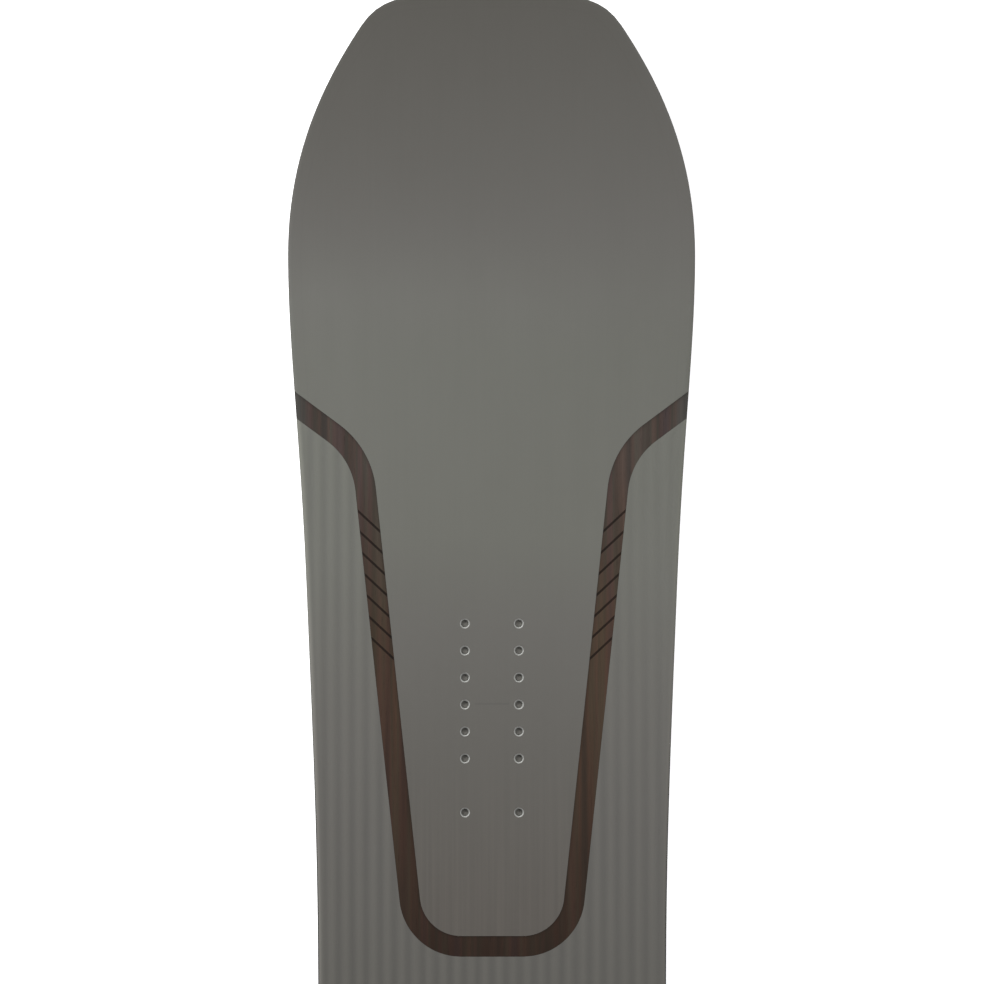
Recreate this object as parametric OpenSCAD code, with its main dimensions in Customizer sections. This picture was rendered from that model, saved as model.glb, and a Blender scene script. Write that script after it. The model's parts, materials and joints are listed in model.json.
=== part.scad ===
// Snowboard deck without bindings: symmetric twin outline, camber between the contact lines,
// turned-up nose and tail, layered sandwich construction and two packs of threaded inserts.
// Millimetres. X runs across the board, Y along it with the nose at +Y, Z up from the floor.
// Depths are measured square to the base, from its running surface upwards.

/* [Outline] */
// Overall length, tip to tip
length = 1540; // [1440:10:1600]
// Width at the widest point of nose and tail
nose_width = 302.2; // [285:0.1:320]
// Width at the narrowest point, midway
waist_width = 257.9; // [240:0.1:275]
// Distance of the widest point from the tip
widest_from_tip = 192.7; // [170:0.1:220]
// Half width where the blunt tip turns into the flank
shoulder_x = 96.2; // [88:0.1:104]
// Distance of that turn from the tip
shoulder_from_tip = 23.2; // [15:0.1:35]
// Half width a third of the way down the sidecut
sidecut_x = 137.7; // [130:0.1:145]
// Distance of that point from the middle of the board
sidecut_y = 336.7; // [300:0.1:370]

/* [Side profile] */
// Half the distance between the two contact lines
contact_y = 545; // [500:5:580]
// Height of the camber at the middle
camber = 5; // [0:0.5:8]
// Radius of the turned-up nose and tail
nose_radius = 530; // [400:10:800]
// Length of each flat facet in the turned-up ends
nose_step = 12; // [6:1:20]
// Number of facets in half of the camber
camber_steps = 15; // [8:1:30]

/* [Layers] */
// Thickness of the running base
base_t = 1.2; // [0.9:0.1:2]
// Full height of the steel edge, base level to tab top
edge_t = 1.9; // [1.5:0.1:2.5]
// Width of the steel edge's body
edge_w = 2; // [1.5:0.1:3]
// Width of the steel edge's buried tab
tab_w = 5; // [3:0.5:7]
// Thickness of the rubber foil over the edge
foil_t = 0.3; // [0.1:0.1:0.5]
// Distance from the outline to the inner side of the foil
foil_in = 10; // [8:0.5:14]
// Thickness of the lower laminate above the foil
lower_t = 0.7; // [0.4:0.1:1.2]
// Thickness of the upper laminate
upper_t = 0.6; // [0.4:0.1:1.2]
// Thickness of the topsheet and the inlay
top_t = 0.5; // [0.3:0.1:1]
// Distance from the outline to the topsheet's border
top_inset = 1.2; // [1:0.1:4]
// Distance from the outline to the laminates' border
laminate_inset = 0.8; // [0.5:0.1:2]

/* [Core] */
// Core thickness between the insert packs
core_t = 5.8; // [4.5:0.1:8]
// Core thickness at its two ends
core_end_t = 1.8; // [1.2:0.1:3]
// Distance from the middle where the core starts to thin
taper_start = 330; // [250:5:400]
// Distance from the middle where the core has thinned out
taper_end = 640; // [560:5:680]
// Width of one core strip
strip_w = 10.29; // [8:0.01:15]
// Number of strips that run the whole length of the core
long_strips = 24; // [24:2:24]
// Number of short strips on each side of nose and tail
stub_strips = 2; // [2:1:2]
// Radius of the core's rounded ends
core_end_r = 185; // [160:1:200]
// Distance from the middle to the centre of that radius
core_end_y = 470; // [430:5:500]
// Distance from the outline to the sidewall's outer face
sidewall_out = 0.5; // [0.4:0.1:2]
// Distance from the outline to the sidewall's inner face
sidewall_in = 9.5; // [6:0.5:14]

/* [Inserts] */
// Distance across between the two columns of inserts
insert_x = 40; // [40:1:40]
// Distance between neighbouring rows
insert_pitch = 20; // [20:1:20]
// Distance from the middle to the innermost row of a pack
first_row = 164.5; // [140:0.5:200]
// Rows of a pack, counted in pitches from its innermost row
rows = [0, 2, 3, 4, 5, 6, 7];
// Thread bore of an insert
bore_d = 5; // [5:0.1:5]
// Outer diameter of an insert's barrel
barrel_d = 8; // [7:0.1:10]
// Diameter of an insert's flange
flange_d = 18; // [14:0.5:22]
// Thickness of an insert's flange
flange_t = 1; // [0.8:0.1:1.5]
// Lead-in at the mouth of an insert
mouth = 0.5; // [0.2:0.1:1]
// Metal left below the thread
floor_t = 0.9; // [0.5:0.1:2]
// Thickness of the reinforcement mat around a pack
mat_t = 0.4; // [0.2:0.1:0.8]
// Half width of the mat
mat_x = 60; // [40:1:80]
// Distance from the end rows of a pack to the mat's border
mat_margin = 26; // [20:1:40]
// Height of the resin under an insert's flange
foot_gap = 0.15; // [0.1:0.05:0.3]
// Gap between an insert's head and the topsheet
head_gap = 0.06; // [0.02:0.02:0.2]
// Diameter of the topsheet's hole over an insert
film_hole_d = 7.4; // [6:0.1:10]

/* [Inlay] */
// Width of the inlaid wooden band
band_w = 15.2; // [10:0.1:25]
// Where the centrelines of diagonal and leg cross
band_top = [96.3, 430.3];
// Where the centrelines of leg and crossbar meet
band_foot = [57.3, 65.3];
// Rise of the diagonal per unit outwards
band_rise = 0.74; // [0.4:0.01:1.2]
// Centreline radius of the upper bend
band_top_r = 60; // [40:1:80]
// Centreline radius of the lower bend
band_foot_r = 38.3; // [20:0.1:60]
// Number of slanted grooves on each leg
grooves = 7; // [1:1:10]
// Distance from the middle to the groove nearest the nose
groove_y = 380.4; // [340:0.1:400]
// Pitch of the grooves along the board
groove_pitch = 15.73; // [10:0.01:25]
// Width of a groove
groove_w = 1.6; // [0.5:0.1:3]
// Depth of a groove
groove_t = 0.25; // [0.1:0.05:0.4]
// Slant of the grooves against the line across the board
groove_angle = 43; // [20:1:70]

/* [Hidden] */
half_l = length / 2;
half_n = nose_width / 2;
half_w = waist_width / 2;
widest_y = half_l - widest_from_tip;
shoulder_y = half_l - shoulder_from_tip;
// Half width of the blocks that the layers are cut from
block = 170;
// How far cutters run past what they cut, and how tall those are that stand on the whole plan
over = 20;
plan_h = 4 * over + nose_radius / 4;
$fn = 48;

// Depths of the boundaries between the layers
d_base = base_t;
d_edge = edge_t;
d_foil = edge_t + foil_t;
d_core = d_foil + lower_t;

long_half = long_strips / 2 * strip_w;
last_row = first_row + rows[len(rows) - 1] * insert_pitch;
mat_y0 = first_row - mat_margin;
mat_y1 = last_row + mat_margin;
leg_slope = (band_top.x - band_foot.x) / (band_top.y - band_foot.y);

function two(i) = str(i < 10 ? "0" : "", i);
function side_name(s) = s < 0 ? "left" : "right";
function end_name(e) = e < 0 ? "tail" : "nose";
function strip_name(i) = str("core_strip_", two(i));
function stub_name(e, s, k) = str("core_stub_", end_name(e), "_", side_name(s), "_", k);

// ---------- outline ----------

// The key points of one quarter, and the directions in which the outline passes two of them
tip = [0, half_l];
shoulder = [shoulder_x, shoulder_y];
widest = [half_n, widest_y];
sidecut = [sidecut_x, sidecut_y];
waist = [half_w, 0];
at_shoulder = [29.6, -43.6];
at_sidecut = [-4.7, -112.6];

// One quarter of the outline: four curves from the tip to the waist, each with its facet count
quarter = [
    [tip, tip + [56, 0], shoulder - 0.56 * at_shoulder, shoulder, 10],
    [shoulder, shoulder + at_shoulder, widest + [0, 73.4], widest, 22],
    [widest, widest - [0, 66.3], sidecut - at_sidecut, sidecut, 12],
    [sidecut, sidecut + 1.46 * at_sidecut, waist + [0, 126.3], waist, 10]
];

function unit(v) = v / norm(v);
function right_of(v) = [v.y, -v.x];

function curve(c, t) =
    pow(1 - t, 3) * c[0] + 3 * t * pow(1 - t, 2) * c[1]
    + 3 * t * t * (1 - t) * c[2] + pow(t, 3) * c[3];

function heading(c, t) =
    pow(1 - t, 2) * (c[1] - c[0]) + 2 * t * (1 - t) * (c[2] - c[1]) + t * t * (c[3] - c[2]);

// A point of the outline moved inwards by a distance
function inset_point(c, t, inset) = curve(c, t) + inset * right_of(unit(heading(c, t)));

function quarter_line(inset) = concat(
    [[0, half_l - inset]],
    [for (c = quarter, i = [1:c[4]]) inset_point(c, i / c[4], inset)]
);

// The closed outline, moved inwards by a distance
function outline(inset) =
    let (q = quarter_line(inset), n = len(q) - 1)
    concat(
        q,
        [for (i = [n - 1:-1:0]) [q[i].x, -q[i].y]],
        [for (i = [1:n]) [-q[i].x, -q[i].y]],
        [for (i = [n - 1:-1:1]) [-q[i].x, q[i].y]]
    );

module plan(inset) {
    translate([0, 0, -over])
        linear_extrude(plan_h)
            polygon(outline(inset));
}

// The part of the outline that holds core and sidewalls, with rounded ends
core_end_line = [for (a = [0:5:180]) [core_end_r * cos(a), core_end_y + core_end_r * sin(a)]];

module core_plan() {
    translate([0, 0, -over])
        linear_extrude(plan_h)
            polygon(concat(core_end_line, [for (p = core_end_line) -p]));
}

// ---------- side profile ----------

// Height of the running surface above the floor, and its slope
function base_z(y) =
    abs(y) < contact_y
        ? camber * pow(1 - pow(y / contact_y, 2), 2)
        : nose_radius - sqrt(pow(nose_radius, 2) - pow(abs(y) - contact_y, 2));

function base_slope(y) =
    abs(y) < contact_y
        ? -4 * camber * y / pow(contact_y, 2) * (1 - pow(y / contact_y, 2))
        : sign(y) * (abs(y) - contact_y) / sqrt(pow(nose_radius, 2) - pow(abs(y) - contact_y, 2));

// A point at a depth square to the running surface, as [along, up]
function at(y, depth) =
    let (m = base_slope(y), k = sqrt(1 + m * m))
    [y - depth * m / k, base_z(y) + depth / k];

nose_steps = ceil((half_l - contact_y + over) / nose_step);
half_stations = concat(
    [for (i = [1:camber_steps]) contact_y * i / camber_steps],
    [for (i = [1:nose_steps]) contact_y + nose_step * i]
);
stations = concat(
    [for (i = [len(half_stations) - 1:-1:0]) -half_stations[i]],
    [0],
    half_stations
);

function ease(t) = t < 0 ? 0 : t > 1 ? 1 : t * t * (3 - 2 * t);

// Core thickness at a distance from the middle
function core_at(y) =
    core_t + (core_end_t - core_t) * ease((abs(y) - taper_start) / (taper_end - taper_start));

// Depths of one layer boundary at every station: fixed, or riding on the core
function level(depth) = [for (y = stations) depth];
function on_core(extra) = [for (y = stations) d_core + core_at(y) + extra];

// A layer between two boundaries, from x0 to x1
module layer(low, high, x0 = -block, x1 = block) {
    n = len(stations) - 1;
    line = concat(
        [for (i = [0:n]) at(stations[i], low[i])],
        [for (i = [n:-1:0]) at(stations[i], high[i])]
    );
    rotate([90, 0, 90])
        translate([0, 0, x0])
            linear_extrude(x1 - x0)
                polygon(line);
}

// One side of the board, left of the middle for -1 and right of it for 1
module half(s) {
    translate([s < 0 ? -block : 0, -half_l - over, -over])
        cube([block, length + 2 * over, plan_h]);
}

// One end of the board, the tail for -1 and the nose for 1
module end_half(e) {
    translate([-block, e > 0 ? 0 : -length, -over])
        cube([2 * block, length, plan_h]);
}

// ---------- running surface and edges ----------

module base_sheet() {
    color([0.06, 0.06, 0.07])
        intersection() {
            layer(level(0), level(d_base));
            plan(edge_w);
        }
}

// L-shaped steel edge around one side, from the middle of the nose to the middle of the tail
module steel_edge(s) {
    color([0.72, 0.73, 0.75])
        intersection() {
            half(s);
            union() {
                difference() {
                    intersection() {
                        layer(level(0), level(d_edge));
                        plan(0);
                    }
                    plan(edge_w);
                }
                difference() {
                    intersection() {
                        layer(level(d_base), level(d_edge));
                        plan(edge_w);
                    }
                    plan(edge_w + tab_w);
                }
            }
        }
}

// Ply that fills the space between the tabs of the two edges
module edge_ply() {
    color([0.80, 0.82, 0.72])
        intersection() {
            layer(level(d_base), level(d_edge));
            plan(edge_w + tab_w);
        }
}

module edge_foil(s) {
    color([0.12, 0.12, 0.12])
        intersection() {
            half(s);
            difference() {
                intersection() {
                    layer(level(d_edge), level(d_foil));
                    plan(laminate_inset);
                }
                plan(foil_in);
            }
        }
}

// Full-size laminate that also fills the space between the two foils
module lower_laminate() {
    color([0.78, 0.80, 0.68])
        union() {
            intersection() {
                layer(level(d_foil), level(d_core));
                plan(laminate_inset);
            }
            intersection() {
                layer(level(d_edge), level(d_foil));
                plan(foil_in);
            }
        }
}

// ---------- inserts ----------

// Places a child at every insert of one pack; e is 1 for the front pack and -1 for the rear
module each_insert(e) {
    for (s = [-1, 1], r = rows)
        translate([s * insert_x / 2, e * (first_row + r * insert_pitch), 0])
            children();
}

// Height of an insert's foot and head in the row at y
function foot_z(y) = base_z(y) + d_core + foot_gap;
function head_z(y) = base_z(y) + d_core + core_at(y) + upper_t - head_gap;

// Closed-end threaded insert with a wide flange, standing upright
module insert(y) {
    z0 = foot_z(y);
    z1 = head_z(y);
    difference() {
        union() {
            translate([0, 0, z0])
                cylinder(d = flange_d, h = flange_t);
            translate([0, 0, z0])
                cylinder(d = barrel_d, h = z1 - z0);
        }
        translate([0, 0, z0 + floor_t])
            cylinder(d = bore_d, h = z1 - z0);
        translate([0, 0, z1 - mouth])
            cylinder(d1 = bore_d, d2 = bore_d + 4 * mouth, h = 2 * mouth);
    }
}

module inserts(e) {
    color([0.66, 0.66, 0.64])
        for (s = [-1, 1], r = rows)
            translate([s * insert_x / 2, e * (first_row + r * insert_pitch), 0])
                insert(first_row + r * insert_pitch);
}

// Holes over all the inserts, for the layers that lie around or above them
module insert_holes(d) {
    for (e = [-1, 1])
        each_insert(e)
            cylinder(d = d, h = over + over);
}

// What the barrels and flanges take out of the core
module insert_pockets() {
    for (e = [-1, 1], s = [-1, 1], r = rows) {
        y = first_row + r * insert_pitch;
        translate([s * insert_x / 2, e * y, 0]) {
            cylinder(d = barrel_d, h = over + over);
            cylinder(d = flange_d, h = foot_z(y) + flange_t);
        }
    }
}

// ---------- core ----------

// Room for the reinforcement mat in the top of the core
module mat_block(e, low, high) {
    intersection() {
        layer(low, high, -mat_x, mat_x);
        translate([-mat_x, e > 0 ? mat_y0 : -mat_y1, 0])
            cube([2 * mat_x, mat_y1 - mat_y0, over + over]);
    }
}

// Core wood between two planes along the board, cut to the core's plan
module core_wood(x0, x1) {
    intersection() {
        layer(level(d_core), on_core(0), x0, x1);
        plan(sidewall_in);
        core_plan();
    }
}

module core_strip(i) {
    x0 = (i - 1 - long_strips / 2) * strip_w;
    near = abs(x0 + strip_w / 2) < mat_x + strip_w;
    color(i % 2 == 0 ? [0.86, 0.76, 0.58] : [0.80, 0.68, 0.48])
        difference() {
            core_wood(x0, x0 + strip_w);
            if (near)
                for (e = [-1, 1])
                    mat_block(e, on_core(-mat_t), on_core(1));
            if (near)
                insert_pockets();
        }
}

// Short strip that exists only where nose and tail are wider than the long strips
module core_stub(e, s, k) {
    x0 = long_half + (k - 1) * strip_w;
    color(k % 2 == 0 ? [0.86, 0.76, 0.58] : [0.80, 0.68, 0.48])
        intersection() {
            core_wood(s > 0 ? x0 : -x0 - strip_w, s > 0 ? x0 + strip_w : -x0);
            end_half(e);
        }
}

module reinforcement(e) {
    color([0.55, 0.60, 0.55])
        difference() {
            mat_block(e, on_core(-mat_t), on_core(0));
            insert_holes(barrel_d);
        }
}

// ---------- sidewalls and spacers ----------

module sidewall(s) {
    color([0.13, 0.13, 0.12])
        intersection() {
            half(s);
            difference() {
                intersection() {
                    layer(level(d_core), on_core(0));
                    plan(sidewall_out);
                    core_plan();
                }
                plan(sidewall_in);
            }
        }
}

// Plastic spacer that takes the core's place in the nose or the tail
module spacer(e) {
    color([0.16, 0.16, 0.15])
        intersection() {
            difference() {
                intersection() {
                    layer(level(d_core), on_core(0));
                    plan(sidewall_out);
                }
                core_plan();
            }
            end_half(e);
        }
}

// ---------- upper laminate ----------

module upper_laminate() {
    color([0.78, 0.80, 0.68])
        difference() {
            intersection() {
                layer(on_core(0), on_core(upper_t));
                plan(laminate_inset);
            }
            insert_holes(barrel_d);
        }
}

// ---------- topsheet and inlay ----------

function turned(v, t) = [v.x * cos(t) - v.y * sin(t), v.x * sin(t) + v.y * cos(t)];

// Points of an arc that rounds the corner p between the headings a and b, to the left of the line
// or to its right, at a distance off from the centreline
function bend(p, a, b, r, off) =
    let (
        turn = atan2(b.y, b.x) - atan2(a.y, a.x),
        swing = turn > 180 ? turn - 360 : turn < -180 ? turn + 360 : turn,
        hand = sign(swing),
        start = p - a * r * tan(abs(swing) / 2),
        c = start + hand * r * [-a.y, a.x],
        spoke = start - c,
        steps = ceil(abs(swing) / 5)
    )
    [for (i = [0:steps])
        c + turned(spoke, swing * i / steps) * (1 - hand * off / r)];

// Right half of the band's line, from outside the board to the crossbar
band_in = unit([-1, -band_rise]);
band_down = unit(band_foot - band_top);
band_bar = [-1, 0];
band_start = band_top - band_in * block;

function band_right(off) = concat(
    [band_start + off * [-band_in.y, band_in.x]],
    bend(band_top, band_in, band_down, band_top_r, off),
    bend(band_foot, band_down, band_bar, band_foot_r, off)
);

// Everything on the nose side of the band's line, moved sideways by a distance
function window(off) =
    let (r = band_right(off), n = len(r) - 1)
    concat(
        r,
        [for (i = [n:-1:0]) [-r[i].x, r[i].y]],
        [[-block - over, length], [block + over, length]]
    );

module window_plan(e, off) {
    linear_extrude(plan_h)
        polygon([for (p = window(off)) [p.x, e * p.y]]);
}

module skin() {
    intersection() {
        layer(on_core(upper_t), on_core(upper_t + top_t));
        plan(top_inset);
    }
}

module topsheet_end(e) {
    color([0.38, 0.38, 0.36])
        difference() {
            intersection() {
                skin();
                window_plan(e, -band_w / 2);
            }
            insert_holes(film_hole_d);
        }
}

module topsheet_centre() {
    color([0.38, 0.38, 0.36])
        difference() {
            skin();
            for (e = [-1, 1])
                window_plan(e, band_w / 2);
        }
}

// Slanted bars that cross both legs of the band
module groove_bars(e) {
    for (s = [-1, 1], k = [0:grooves - 1]) {
        y = groove_y - k * groove_pitch;
        x = band_top.x + (y - band_top.y) * leg_slope;
        translate([s * x, e * y, 0])
            rotate([0, 0, e * s * groove_angle])
                translate([-band_w, -groove_w / 2, 0])
                    cube([2 * band_w, groove_w, over + over]);
    }
}

module groove_cuts(e) {
    intersection() {
        layer(on_core(upper_t + top_t - groove_t), on_core(upper_t + top_t + 1));
        groove_bars(e);
    }
}

// Inlaid wooden band with slanted grooves on its legs
module inlay(e) {
    color([0.24, 0.20, 0.17])
        difference() {
            intersection() {
                skin();
                window_plan(e, band_w / 2);
            }
            window_plan(e, -band_w / 2);
            groove_cuts(e);
        }
}

// ---------- the board ----------

base_sheet();
steel_edge(-1);  // steel_edge_left
steel_edge(1);  // steel_edge_right
edge_ply();
edge_foil(-1);  // edge_foil_left
edge_foil(1);  // edge_foil_right
lower_laminate();
for (i = [1:long_strips]) core_strip(i);
for (e = [1, -1], s = [-1, 1], k = [1:stub_strips])
    core_stub(e, s, k);
sidewall(-1);  // sidewall_left
sidewall(1);  // sidewall_right
spacer(1);  // nose_spacer
spacer(-1);  // tail_spacer
reinforcement(1);  // reinforcement_front
reinforcement(-1);  // reinforcement_rear
inserts(1);  // inserts_front
inserts(-1);  // inserts_rear
upper_laminate();
topsheet_end(1);  // topsheet_nose
topsheet_centre();
topsheet_end(-1);  // topsheet_tail
inlay(1);  // inlay_nose
inlay(-1);  // inlay_tail
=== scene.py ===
"""Looks of a bare snowboard deck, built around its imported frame."""
import json
import math

import bmesh
import bpy
import numpy as np
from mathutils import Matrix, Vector

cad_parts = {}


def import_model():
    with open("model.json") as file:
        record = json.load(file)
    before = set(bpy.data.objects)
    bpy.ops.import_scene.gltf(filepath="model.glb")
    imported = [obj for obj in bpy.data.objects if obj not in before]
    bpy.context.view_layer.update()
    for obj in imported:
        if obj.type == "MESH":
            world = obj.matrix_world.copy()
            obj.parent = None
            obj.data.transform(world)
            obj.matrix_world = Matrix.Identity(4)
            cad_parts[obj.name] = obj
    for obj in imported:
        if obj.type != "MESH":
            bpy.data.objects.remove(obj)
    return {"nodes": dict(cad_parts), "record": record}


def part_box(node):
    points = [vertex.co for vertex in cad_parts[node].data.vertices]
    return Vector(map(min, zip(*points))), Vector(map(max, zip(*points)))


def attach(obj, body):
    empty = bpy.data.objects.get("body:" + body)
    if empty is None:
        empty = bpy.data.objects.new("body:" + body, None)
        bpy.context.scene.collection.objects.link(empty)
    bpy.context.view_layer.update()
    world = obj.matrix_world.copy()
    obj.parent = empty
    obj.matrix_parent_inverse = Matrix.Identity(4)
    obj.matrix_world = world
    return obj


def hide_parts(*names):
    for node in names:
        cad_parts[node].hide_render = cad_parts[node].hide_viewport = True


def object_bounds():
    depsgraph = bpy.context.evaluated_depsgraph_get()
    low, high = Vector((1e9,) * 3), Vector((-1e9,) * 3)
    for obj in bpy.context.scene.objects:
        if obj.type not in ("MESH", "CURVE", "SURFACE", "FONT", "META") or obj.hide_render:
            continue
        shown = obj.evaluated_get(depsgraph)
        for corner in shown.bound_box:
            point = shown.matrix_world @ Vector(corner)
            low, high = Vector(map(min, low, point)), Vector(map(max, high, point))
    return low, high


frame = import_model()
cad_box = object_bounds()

MM = 0.001

# ---------- driving dimensions, in metres, as the frame has them ----------

CONTACT_Y = 545 * MM  # half the distance between the contact lines
CAMBER = 5 * MM
NOSE_R = 530 * MM  # radius of the turned-up ends
CAMBER_FACETS = 15  # facets of the frame in half of the camber
NOSE_FACETS = 21  # and in each turned-up end
NOSE_FACET = 12 * MM  # length of the latter
BASE_T = 1.2 * MM
EDGE_T = 1.9 * MM
CORE_D = 2.9 * MM  # depth at which the core starts
CORE_T = 5.8 * MM
CORE_END_T = 1.8 * MM
TAPER = (330 * MM, 640 * MM)  # between these the core gets thinner
UPPER_T = 0.6 * MM
TOP_T = 0.5 * MM
ROWS = (0, 2, 3, 4, 5, 6, 7)  # rows of inserts, in pitches from the innermost
PITCH = 20 * MM

# ---------- the side profile ----------


def ease(t):
    """A smooth step from 0 to 1."""
    t = np.clip(t, 0, 1)
    return t * t * (3 - 2 * t)


def base_z(s):
    """Height of the running surface at distances from the middle."""
    a = np.abs(s)
    camber = CAMBER * (1 - np.minimum(a / CONTACT_Y, 1) ** 2) ** 2
    rise = NOSE_R - np.sqrt(NOSE_R**2 - np.maximum(a - CONTACT_Y, 0) ** 2)
    return camber + rise


def base_slope(s):
    """Slope of the running surface at the same distances."""
    u = np.minimum(np.abs(s) / CONTACT_Y, 1)
    over = np.maximum(np.abs(s) - CONTACT_Y, 0)
    fall = 4 * CAMBER / CONTACT_Y * u * (1 - u * u)
    return np.sign(s) * (over / np.sqrt(NOSE_R**2 - over**2) - fall)


def core_at(s):
    """Thickness of the core."""
    return CORE_T + (CORE_END_T - CORE_T) * ease((np.abs(s) - TAPER[0]) / (TAPER[1] - TAPER[0]))


def fixed(depth):
    """A layer boundary at an even depth above the running surface."""
    return lambda s: np.full_like(s, depth)


def on_core(extra):
    """A layer boundary at an even height above the core."""
    return lambda s: CORE_D + core_at(s) + extra


HALF = np.concatenate(
    [
        CONTACT_Y * np.arange(1, CAMBER_FACETS + 1) / CAMBER_FACETS,
        CONTACT_Y + NOSE_FACET * np.arange(1, NOSE_FACETS + 1),
    ]
)
FACETED = np.concatenate([-HALF[::-1], [0.0], HALF])
SMOOTH_COUNT = 1601
SMOOTH = np.linspace(FACETED[0], FACETED[-1], SMOOTH_COUNT)


def height(depth_of, stations):
    """Height of a layer boundary as a function of y, through the given stations."""
    slope = base_slope(stations)
    k = np.sqrt(1 + slope**2)
    depth = depth_of(stations)
    along = stations - depth * slope / k
    up = base_z(stations) + depth / k
    return lambda y: np.interp(y, along, up)


# ---------- the outline and the inlaid band ----------

ARC_POINTS = 24  # points of a rounded corner
BATCH = 2000  # points whose distances are found at once
LANE_HALF = 7.6 * MM  # half the width of the inlaid band
BAND_TOP = np.array((96.3, 430.3)) * MM  # where its diagonal and its leg cross
BAND_FOOT = np.array((57.3, 65.3)) * MM  # where its leg and its crossbar meet
BAND_RISE = 0.74  # slope of its diagonal
BAND_REACH = 170 * MM  # length of its diagonal, which ends past the border
BAND_R = (60 * MM, 38.3 * MM)  # radii of its two bends

# Key points of one quarter of the outline in millimetres, from the tip to the waist, and its
# headings at two of them. The other numbers say how far the handles of the curves reach.
TIP_MIDDLE, SHOULDER, WIDEST, SIDECUT, WAIST = np.array(
    ((0, 770), (96.2, 746.8), (151.1, 577.3), (137.7, 336.7), (128.95, 0))
)
AT_SHOULDER, AT_SIDECUT = np.array(((29.6, -43.6), (-4.7, -112.6)))
QUARTER = (
    (TIP_MIDDLE, TIP_MIDDLE + (56, 0), SHOULDER - 0.56 * AT_SHOULDER, SHOULDER),
    (SHOULDER, SHOULDER + AT_SHOULDER, WIDEST + (0, 73.4), WIDEST),
    (WIDEST, WIDEST - (0, 66.3), SIDECUT - AT_SIDECUT, SIDECUT),
    (SIDECUT, SIDECUT + 1.46 * AT_SIDECUT, WAIST + (0, 126.3), WAIST),
)


def quarter_line(inset, steps=60):
    """Points of one quarter of the outline, moved inwards."""
    line = []
    for c in np.array(QUARTER) * MM:
        t = np.linspace(0, 1, steps)[:, None]
        at = (1 - t) ** 3 * c[0] + 3 * t * (1 - t) ** 2 * c[1] + 3 * t**2 * (1 - t) * c[2] + t**3 * c[3]
        way = (1 - t) ** 2 * (c[1] - c[0]) + 2 * t * (1 - t) * (c[2] - c[1]) + t**2 * (c[3] - c[2])
        way /= np.sqrt((way**2).sum(1))[:, None]
        line.append(at + inset * np.stack([way[:, 1], -way[:, 0]], 1))
    return np.concatenate(line)


def half_width(y, inset):
    """Half the width of the outline at y, moved inwards."""
    line = quarter_line(inset)[::-1]
    return np.interp(np.abs(y), np.maximum.accumulate(line[:, 1]), line[:, 0], right=0.0)


def nearest_on(line, points):
    """For each point, its gap from the closest place on a line, and the number of the segment there."""
    start, way = line[:-1], np.diff(line, axis=0)
    length2 = np.maximum((way**2).sum(1), 1e-12)
    gaps, numbers = np.empty_like(points), np.empty(len(points), int)
    for first in range(0, len(points), BATCH):
        some = slice(first, first + BATCH)
        p = points[some, None, :] - start
        t = np.clip((p[:, :, 0] * way[:, 0] + p[:, :, 1] * way[:, 1]) / length2, 0, 1)
        gx, gy = p[:, :, 0] - t * way[:, 0], p[:, :, 1] - t * way[:, 1]
        closest = (gx * gx + gy * gy).argmin(1)
        at = np.arange(len(closest))
        gaps[some] = np.stack([gx[at, closest], gy[at, closest]], 1)
        numbers[some] = closest
    return gaps, numbers


BORDER = quarter_line(0.0, ARC_POINTS)
BORDER_WAY = np.diff(BORDER, axis=0)
BORDER = BORDER[np.concatenate([[True], np.hypot(*BORDER_WAY.T) > 1e-6])]
BORDER_WAY = np.diff(BORDER, axis=0)
BORDER_IN = np.stack([BORDER_WAY[:, 1], -BORDER_WAY[:, 0]], 1) / np.hypot(*BORDER_WAY.T)[:, None]


def inset_of(points):
    """Distance of plan points from the border, and the direction inwards there."""
    gap, number = nearest_on(BORDER, np.abs(points))
    inward = BORDER_IN[number]
    return (gap * inward).sum(1), inward * np.where(points < 0, -1, 1)


def unit(v):
    """A direction of length 1."""
    return np.array(v) / np.hypot(*v)


def bend(corner, a, b, r, off):
    """Points of the arc that rounds a corner between two headings, off to the left of its line."""
    swing = math.atan2(a[0] * b[1] - a[1] * b[0], a[0] * b[0] + a[1] * b[1])
    hand = math.copysign(1, swing)
    start = corner - a * r * math.tan(abs(swing) / 2)
    centre = start + hand * r * np.array((-a[1], a[0]))
    t = np.linspace(0, swing, ARC_POINTS)[:, None]
    x, y = start - centre
    turned = np.concatenate([x * np.cos(t) - y * np.sin(t), x * np.sin(t) + y * np.cos(t)], 1)
    return centre + turned * (1 - hand * off / r)


def band_line(off):
    """The right half of the band's line, from outside the border to the start of the crossbar."""
    inwards, down, bar = unit((-1, -BAND_RISE)), unit(BAND_FOOT - BAND_TOP), np.array((-1.0, 0.0))
    start = BAND_TOP - inwards * BAND_REACH + off * np.array((-inwards[1], inwards[0]))
    upper = bend(BAND_TOP, inwards, down, BAND_R[0], off)
    lower = bend(BAND_FOOT, down, bar, BAND_R[1], off)
    return np.concatenate([[start], upper, lower])


def band_x(y, off):
    """Half width of the band's line at y."""
    line = band_line(off)[::-1]
    return np.interp(y, line[:, 1], line[:, 0])


# ---------- meshes ----------

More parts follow.
